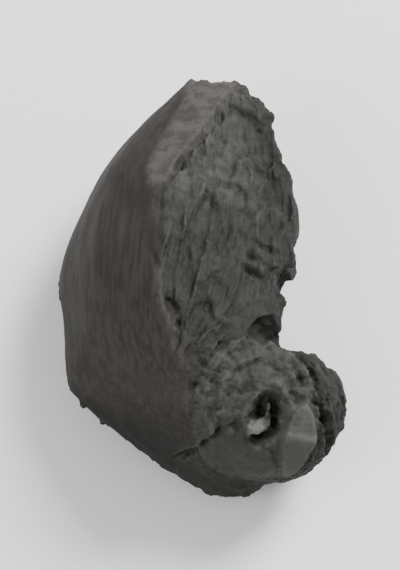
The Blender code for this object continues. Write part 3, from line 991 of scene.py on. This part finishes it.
@dataclass
class Lump:
    """The finished lump: builds the fine surface and gives it its traits and its finish.

    Sizes are in millimetres. A pair is where a share starts and where it is full, and a reach is
    such a pair along the knot's axis.
    """

    chunk: Chunk
    wood: Wood
    cracks: Cracks
    finish: CharcoalFinish
    shape_voxel: float = 0.5
    broken_voxel: float = 0.34
    triangles: int = 190000
    seat_merge: float = 1e-4

    # how far the faces and corners are worn
    bark_smoothing: int = 300
    band_wear: float = 0.9
    rim_wear: float = 0.8
    corner_wear: float = 0.16
    crease: Pair = (0.2, 1.5)

    # where the strip's colour, the pale dust and the pale spot lie
    band_inside: Pair = (0.3, 0.7)
    plate_dust: float = 0.16
    plate_reach: Pair = (-8.0, -5.0)
    step_dust: float = 0.3
    step_dust_width: float = 0.8
    # the pale spot on the core's lower end
    pale_mark: Oval = Oval((-0.1, -2.6), (1.5, 2.0), (0.5, 1.2))
    pale_mark_reach: Pair = (-3.0, -1.5)

    # where the painted shade lies, and the darkening towards the smooth face's far end
    torn_painted_shade_near: Pair = (-14.0, 2.0)
    torn_painted_shade_right: Pair = (6.0, 14.0)
    knot_unshaded: float = 0.9
    rim_facing: float = 0.55
    rim_facing_run: float = 0.5
    rim_painted_shade: float = 1.5
    far_darkening_start: Pair = (2.0, 22.0)
    far_darkening: float = 0.35

    def build(self) -> bpy.types.Object:
        """Makes the whole piece.

        Returns:
            The finished object, in metres.
        """
        base = self.chunk.build()
        remesh(base, self.shape_voxel)
        self.round_off(base)
        bark = self.roughen(base)
        remesh(base, self.broken_voxel)
        smooth(base, 1)
        self.roughen_finely(base, bark)
        self.cut_seat(base)
        thin_out(base, self.triangles)
        self.add_traits(base, bark)
        x, y = ORIGIN
        base.data.transform(Matrix.Scale(MM, 4) @ Matrix.Translation((-x, -y, 0)))
        base.data.materials.append(self.finish.material())
        base.data.shade_smooth()
        base.name = "charcoal_lump_fine"
        return base

    def round_off(self, base: bpy.types.Object) -> None:
        """Rounds the smooth face, which the corners leave in flats, and wears the other corners."""
        bark = base.vertex_groups.new(name="bark")
        worn = base.vertex_groups.new(name="worn")
        for vertex in base.data.vertices:
            point, normal = vertex.co, vertex.normal
            share = self.chunk.bark_share(point, normal)
            share = max(share, self.chunk.band_share(point, normal) * self.band_wear)
            bark.add([vertex.index], share, "REPLACE")
            rim = self.chunk.rim_share(point, normal) * self.rim_wear
            crease = ramp(abs(self.chunk.ridge_x(point.y) - point.x), *self.crease)
            worn.add([vertex.index], max(max(share, rim) * crease, self.corner_wear), "REPLACE")
        worn_name = worn.name
        smooth(base, self.bark_smoothing, worn_name)
        base.vertex_groups.remove(base.vertex_groups[worn_name])

    def roughen(self, base: bpy.types.Object) -> "Nearest":
        """Raises the broken surface.

        Args:
            base: The rounded form, which is changed.

        Returns:
            A lookup of how far a place belongs to the smooth face.
        """
        mesh = base.data
        bark = [0.0] * len(mesh.vertices)
        for vertex in mesh.vertices:
            for entry in vertex.groups:
                bark[vertex.index] = entry.weight
        depths = self.cracks.depths(places_of(mesh))
        moved = [
            v.co + v.normal * (self.wood.height(v.co, v.normal, bark[v.index]) - depths[v.index])
            for v in mesh.vertices
        ]
        for vertex, place in zip(mesh.vertices, moved):
            vertex.co = place
        mesh.update()
        base.vertex_groups.clear()
        return Nearest(moved, bark)

    def roughen_finely(self, base: bpy.types.Object, bark: "Nearest") -> None:
        """Raises the strands, fibres, splits and chips.

        Args:
            base: The broken surface, which is changed.
            bark: The lookup of the smooth face.
        """
        moved = [
            v.co + v.normal * self.wood.fine_height(v.co, v.normal, bark.at(v.co))
            for v in base.data.vertices
        ]
        for vertex, place in zip(base.data.vertices, moved):
            vertex.co = place
        base.data.update()

    def cut_seat(self, base: bpy.types.Object) -> None:
        """Trims what would reach below the surface that the lump stands on."""
        shape = bmesh.new()
        shape.from_mesh(base.data)
        everything = shape.verts[:] + shape.edges[:] + shape.faces[:]
        cut = bmesh.ops.bisect_plane(
            shape,
            geom=everything,
            dist=self.seat_merge,
            plane_co=(0, 0, 0),
            plane_no=(0, 0, 1),
            clear_inner=True,
        )
        rim = [e for e in cut["geom_cut"] if isinstance(e, bmesh.types.BMEdge)]
        bmesh.ops.holes_fill(shape, edges=rim, sides=0)
        bmesh.ops.recalc_face_normals(shape, faces=shape.faces)
        shape.to_mesh(base.data)
        shape.free()

    def add_traits(self, base: bpy.types.Object, bark: "Nearest") -> None:
        """Gives each corner the numbers that the finish reads.

        Args:
            base: The finished surface, in millimetres.
            bark: The lookup of the smooth face.
        """
        mesh = base.data
        points = places_of(mesh)
        hollow = hollows(mesh, points)
        rows = {trait: [] for trait in Trait if trait not in (Trait.HOLLOW, Trait.GRAIN)}
        grain = []
        for vertex in mesh.vertices:
            point, normal = vertex.co, vertex.normal
            local_band = self.chunk.band_share(point, Vector((0, 0, 1)))
            share = bark.at(point)
            rows[Trait.BARK].append(share * (1 - local_band))
            rows[Trait.BAND].append(local_band * ramp(share, *self.band_inside))
            rows[Trait.PALE].append(self.pale_share(point))
            rows[Trait.FRONT].append(self.wood.front_share(point, normal) * (1 - share))
            # painted shade, and the darkening towards the smooth face's far end
            rows[Trait.PAINTED_SHADE_AND_DARKENING].append(self.painted_shade_and_darkening_share(point, normal, share) * (1 - local_band))
            grain.append(self.wood.grain(point))
        rows[Trait.HOLLOW] = hollow
        for trait, values in rows.items():
            mesh.attributes.new(trait.value, "FLOAT", "POINT").data.foreach_set("value", values)
        directions = mesh.attributes.new(Trait.GRAIN.value, "FLOAT_VECTOR", "POINT")
        directions.data.foreach_set("vector", [number for place in grain for number in place])

    def pale_share(self, point: Vector) -> float:
        """How pale a place is: the plate beside the core, and a pale spot on the core's lower end."""
        local = self.chunk.knot.place(point)
        bar = math.exp(-(((local.y - self.wood.tongue_step[0]) / self.step_dust_width) ** 2))
        dust = self.plate_dust + bar * self.step_dust
        plate = self.wood.tongue_share(local) * ramp(local.z, *self.plate_reach) * dust
        return max(plate, self.pale_mark.share(local) * ramp(local.z, *self.pale_mark_reach))

    def painted_shade_and_darkening_share(self, point: Vector, normal: Vector, bark: float) -> float:
        """How much painted shade and darkening a place gets.

        The torn face gets painted shade towards the near end and the right edge, though hardly on the
        knot.
        The smooth face gets painted shade where it turns down, and darkens towards its far end.

        Args:
            point: The place.
            normal: The way the surface faces there.
            bark: How far the place belongs to the smooth face.

        Returns:
            0 where it is left as it is and 1 where it is fully darkened, or more where the smooth face
            turns down.
        """
        # painted shade on the torn face towards the near end and the right edge
        torn = max(ramp(-point.y, *self.torn_painted_shade_near), ramp(point.x, *self.torn_painted_shade_right))
        torn *= 1 - self.chunk.knot.share(point) * self.knot_unshaded
        # painted shade where the smooth face turns down
        rim = ramp(self.rim_facing - normal.z, 0.0, self.rim_facing_run) * self.rim_painted_shade
        far = ramp(point.y, *self.far_darkening_start) * self.far_darkening
        return torn * (1 - bark) + max(rim, far) * bark


class Nearest:
    """Finds the value of the nearest known place."""

    def __init__(self, places: list[Vector], values: list[float]) -> None:
        """Sorts the places for the search.

        Args:
            places: The known places.
            values: What each of them holds.
        """
        self.values = values
        self.tree = KDTree(len(places))
        for index, place in enumerate(places):
            self.tree.insert(place, index)
        self.tree.balance()

    def at(self, point: Vector) -> float:
        """The value at the place nearest to this point."""
        return self.values[self.tree.find(point)[1]]


def places_of(mesh: bpy.types.Mesh) -> np.ndarray:
    """The mesh's corners, one row each."""
    flat = np.empty(len(mesh.vertices) * 3)
    mesh.vertices.foreach_get("co", flat)
    return flat.reshape(-1, 3)


def hollows(
    mesh: bpy.types.Mesh, points: np.ndarray, rounds: int = 24, strength: float = 0.6
) -> np.ndarray:
    """How deep each corner lies under the evened-out surface.

    Args:
        mesh: The surface.
        points: Its corners.
        rounds: How often the surface is evened out.
        strength: How far a corner moves to the middle of its neighbours each time.

    Returns:
        The depth of each corner, negative on ridges.
    """
    ends = np.empty(len(mesh.edges) * 2, dtype=np.int64)
    mesh.edges.foreach_get("vertices", ends)
    first, second = ends.reshape(-1, 2).T
    count = np.bincount(ends, minlength=len(points)).astype(float)[:, None]
    even = points.copy()
    for _ in range(rounds):
        total = np.zeros_like(even)
        for axis in range(3):
            total[:, axis] += np.bincount(first, weights=even[second, axis], minlength=len(even))
            total[:, axis] += np.bincount(second, weights=even[first, axis], minlength=len(even))
        even = even * (1 - strength) + total / count * strength
    normals = np.empty(len(points) * 3)
    mesh.vertices.foreach_get("normal", normals)
    return ((even - points) * normals.reshape(-1, 3)).sum(axis=1)


@dataclass(frozen=True)
class Lamp:
    """A square soft light: its name, its place and side in metres, and its power in watts."""

    name: str
    place: Corner
    side: float
    power: float


@dataclass
class Studio:
    """The pale floor, the soft lights and the camera at the photo's viewing angle.

    Places and sizes are in metres, the elevation is in degrees and the sensor in millimetres.
    """

    elevation: float = 58.0
    distance: float = 0.45
    view_height: float = 0.108
    sensor_height: float = 36.0
    clip_start: float = 0.01
    aim: Corner = (0.0, 0.0, 0.0145)
    floor_size: float = 3.0
    floor_colour: Colour = (0.88, 0.88, 0.88)
    floor_roughness: float = 0.9
    floor_sheen: float = 0.1
    sky_colour: Colour = (1.0, 1.0, 1.0)
    sky_strength: float = 0.66
    key: Lamp = Lamp("key", (0.42, 0.34, 0.60), 0.32, 12.0)
    fill: Lamp = Lamp("fill", (-0.5, -0.45, 0.5), 0.5, 4.2)

    def floor(self) -> None:
        """A wide plain floor under the lump."""
        shape = bmesh.new()
        bmesh.ops.create_grid(shape, x_segments=1, y_segments=1, size=self.floor_size / 2)
        floor = object_of("floor", shape)
        material = bpy.data.materials.new("pale floor")
        material.use_nodes = True
        surface = material.node_tree.nodes["Principled BSDF"]
        surface.inputs["Base Color"].default_value = (*self.floor_colour, 1.0)
        surface.inputs["Roughness"].default_value = self.floor_roughness
        surface.inputs["Specular IOR Level"].default_value = self.floor_sheen
        floor.data.materials.append(material)

    def light(self, lamp: Lamp) -> None:
        """Hangs the lamp where it looks at the lump."""
        glow = bpy.data.lights.new(lamp.name, "AREA")
        glow.size = lamp.side
        glow.energy = lamp.power
        holder = bpy.data.objects.new(lamp.name, glow)
        holder.location = lamp.place
        holder.rotation_mode = "QUATERNION"
        towards = Vector(self.aim) - Vector(lamp.place)
        holder.rotation_quaternion = towards.to_track_quat("-Z", "Y")
        bpy.context.scene.collection.objects.link(holder)

    def sky(self) -> None:
        """An even white glow from all round."""
        world = bpy.data.worlds.new("glow")
        world.use_nodes = True
        background = world.node_tree.nodes["Background"]
        background.inputs["Color"].default_value = (*self.sky_colour, 1.0)
        background.inputs["Strength"].default_value = self.sky_strength
        bpy.context.scene.world = world

    def camera(self) -> None:
        """Looks down along the grain, as the photo does."""
        lens = bpy.data.cameras.new("camera")
        lens.sensor_fit = "VERTICAL"
        lens.sensor_height = self.sensor_height
        lens.lens = lens.sensor_height * self.distance / self.view_height
        lens.clip_start = self.clip_start
        holder = bpy.data.objects.new("camera", lens)
        tilt = math.radians(self.elevation)
        back = Vector((0, -math.cos(tilt), math.sin(tilt)))
        holder.location = Vector(self.aim) + back * self.distance
        holder.rotation_mode = "QUATERNION"
        holder.rotation_quaternion = (-back).to_track_quat("-Z", "Y")
        bpy.context.scene.collection.objects.link(holder)
        bpy.context.scene.camera = holder

    def build(self) -> None:
        """Sets up the floor, the lights and the camera."""
        self.floor()
        self.sky()
        self.light(self.key)
        self.light(self.fill)
        self.camera()


def the_knot() -> Knot:
    """The knot of this lump."""
    return Knot(
        centre=Vector((13.4, -27.6, 16.0)),
        axis=Vector((0.26, -0.46, 0.85)),
        half_sizes=(13.2, 13.4, 13.6),
        radius=12.5,
        seat=Vector((11.1, -34.6, 26.7)),
        gap=Oval((0.95, -0.65), (2.6, 5.1), (0.84, 1.04)),
        core=Oval((1.2, -0.1), (0.85, 3.5), (0.85, 1.05), -0.17),
        heel=Oval((0.0, -2.5), (1.4, 1.9), (0.8, 1.1)),
    )


def the_chunk(knot: Knot) -> Chunk:
    """The main form of this lump, from its corners."""
    bark_edge = [
        (-3.4, 39.6, 22.0),
        (-12.4, 33.8, 19.0),
        (-20.9, 22.0, 15.0),
        (-25.2, 12.5, 13.0),
        (-27.2, 2.0, 12.0),
        (-26.0, -9.0, 11.0),
        (-25.0, -20.6, 9.0),
        (-15.0, -28.4, 7.0),
        (-5.8, -35.4, 5.5),
        (3.0, -39.8, 4.5),
    ]
    bark_belly = [
        (-10.5, 30.0, 25.0),
        (-16.2, 19.5, 25.8),
        (-19.2, 9.0, 26.3),
        (-20.3, -1.0, 26.3),
        (-19.6, -11.0, 25.6),
        (-15.2, -21.5, 24.0),
        (-7.0, -31.0, 21.0),
    ]
    ridge = [
        (-1.6, 35.0, 28.2),
        (-8.8, 14.6, 33.2),
        (-7.8, -2.2, 36.2),
        (-6.8, -16.4, 36.4),
        (-3.6, -27.0, 35.0),
        (-1.6, -35.0, 29.5),
        (-0.6, -38.6, 22.5),
    ]
    band_edge = [
        (4.9, 32.8, 29.5),
        (-6.0, 10.3, 34.9),
    ]
    torn_edge = [
        (-1.1, 43.0, 24.0),
        (8.4, 41.2, 25.5),
        (11.4, 34.6, 27.0),
        (16.6, 27.2, 28.0),
        (18.4, 17.5, 29.5),
        (19.6, 7.0, 30.5),
        (18.8, -4.0, 31.0),
        (15.2, -13.0, 30.5),
        (12.5, -26.0, 28.5),
    ]
    under_edge = [
        (-12.0, 12.0, -1.0),
        (-11.5, -12.0, -1.0),
        (-2.0, -25.0, -1.0),
        (8.0, -26.0, -1.0),
        (9.0, -8.0, -1.0),
        (8.0, 13.0, -1.0),
        (3.0, 25.0, -1.0),
        (-6.0, 23.0, -1.0),
    ]
    ends = [
        (10.0, -39.6, 4.5),
        (18.0, -33.4, 6.0),
        (-1.5, 40.5, 15.0),
        (8.0, 38.8, 14.0),
    ]
    knot_shoulder = [
        (4.5, -36.4, 26.8),
    ]
    bites = [
        ((21.0, -8.6, 28.0), (6.0, 3.4, 12.0)),
        ((20.2, -18.9, 29.5), (9.2, 2.3, 8.0)),
        ((18.5, -14.6, 21.0), (6.5, 4.2, 6.6)),
        ((21.0, 33.6, 25.0), (8.0, 3.6, 11.0)),
        ((22.0, 12.0, 30.5), (4.6, 2.4, 6.0)),
        ((27.0, 0.0, 14.0), (14.0, 16.0, 13.0)),
        ((22.0, -9.0, 16.0), (10.0, 6.5, 10.0)),
        ((22.0, 24.0, 14.0), (10.0, 9.0, 9.0)),
        ((-29.5, -15.5, 6.0), (4.0, 5.5, 6.0)),
        ((-9.0, 45.0, 7.0), (9.0, 7.0, 9.0)),
        ((-4.0, -44.0, 15.0), (5.5, 3.4, 4.2)),
    ]
    corners = bark_edge + bark_belly + torn_edge + under_edge + ends + knot_shoulder
    return Chunk(knot, ridge, band_edge, corners, bites)


def the_cracks() -> Cracks:
    """The cracks that show from a step away."""
    return Cracks(
        [
            ((7.4, -35.6, 25.1), (4.6, -36.8, 24.5), 0.4, 1.0),
            ((4.6, -36.8, 24.5), (1.8, -37.9, 22.8), 0.45, 1.8),
            ((1.8, -37.9, 22.8), (-0.9, -38.2, 19.4), 0.5, 2.1),
            ((-0.9, -38.2, 19.4), (-3.7, -36.5, 13.4), 0.5, 2.1),
            ((-5.5, -15.0, 36.1), (-3.3, -18.3, 35.4), 0.45, 1.0),
            ((-3.3, -18.3, 35.4), (-2.9, -22.2, 35.1), 0.5, 1.2),
            ((-2.9, -22.2, 35.1), (-3.9, -26.1, 34.7), 0.45, 0.9),
            ((-8.1, -5.9, 35.8), (-7.1, -9.6, 36.0), 0.5, 0.7),
            ((-8.1, 7.1, 34.6), (-7.6, 4.3, 35.2), 0.45, 0.6),
            ((5.1, 30.1, 29.9), (2.0, 24.3, 31.3), 0.6, 1.0),
            ((2.0, 24.3, 31.3), (-1.3, 18.8, 32.7), 0.7, 1.6),
            ((-1.3, 18.8, 32.7), (-5.1, 10.9, 34.6), 0.6, 1.5),
            ((10.4, 18.0, 30.7), (14.1, 14.1, 30.5), 0.7, 1.1),
            ((1.4, 10.8, 33.4), (7.4, 11.3, 32.2), 0.6, 0.6),
            ((0.0, -3.0, 34.6), (0.5, -4.8, 34.6), 0.8, 1.1),
            ((10.4, -1.0, 32.4), (15.6, -3.1, 31.3), 0.45, 1.4),
            ((9.4, -3.9, 32.6), (14.4, -7.5, 31.4), 0.45, 1.5),
            ((9.0, -6.7, 32.8), (12.5, -9.8, 31.8), 0.45, 1.4),
            ((1.1, -12.8, 34.6), (3.5, -20.3, 33.5), 0.5, 1.0),
            ((10.4, -21.1, 30.6), (14.0, -18.0, 29.6), 1.3, 3.0),
            ((17.9, -26.3, 28.4), (19.5, -29.4, 27.8), 0.9, 1.6),
            ((21.2, -30.3, 26.7), (23.3, -32.0, 24.0), 0.5, 1.3),
            ((23.3, -32.0, 24.0), (24.0, -34.6, 20.5), 0.8, 2.6),
            ((24.0, -34.6, 20.5), (23.7, -35.9, 14.4), 0.8, 2.4),
            ((23.7, -35.9, 14.4), (21.6, -37.3, 12.3), 0.6, 1.4),
            ((14.0, -40.3, 20.4), (16.8, -39.5, 10.5), 0.6, 1.0),
            ((-0.6, -31.0, 31.3), (2.5, -32.9, 28.3), 0.7, 1.0),
        ]
    )


def main() -> None:
    """Builds the lump and the studio, and notes the lump's triangle count."""
    logging.basicConfig(level=logging.INFO, format="%(message)s")
    knot = the_knot()
    lump = Lump(the_chunk(knot), Wood(knot), the_cracks(), CharcoalFinish())
    piece = lump.build()
    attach(piece, "root")
    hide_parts(NODE)
    LOG.info("%s: %d triangles", piece.name, sum(len(f.vertices) - 2 for f in piece.data.polygons))
    Studio().build()


if __name__ == "__main__":
    main()
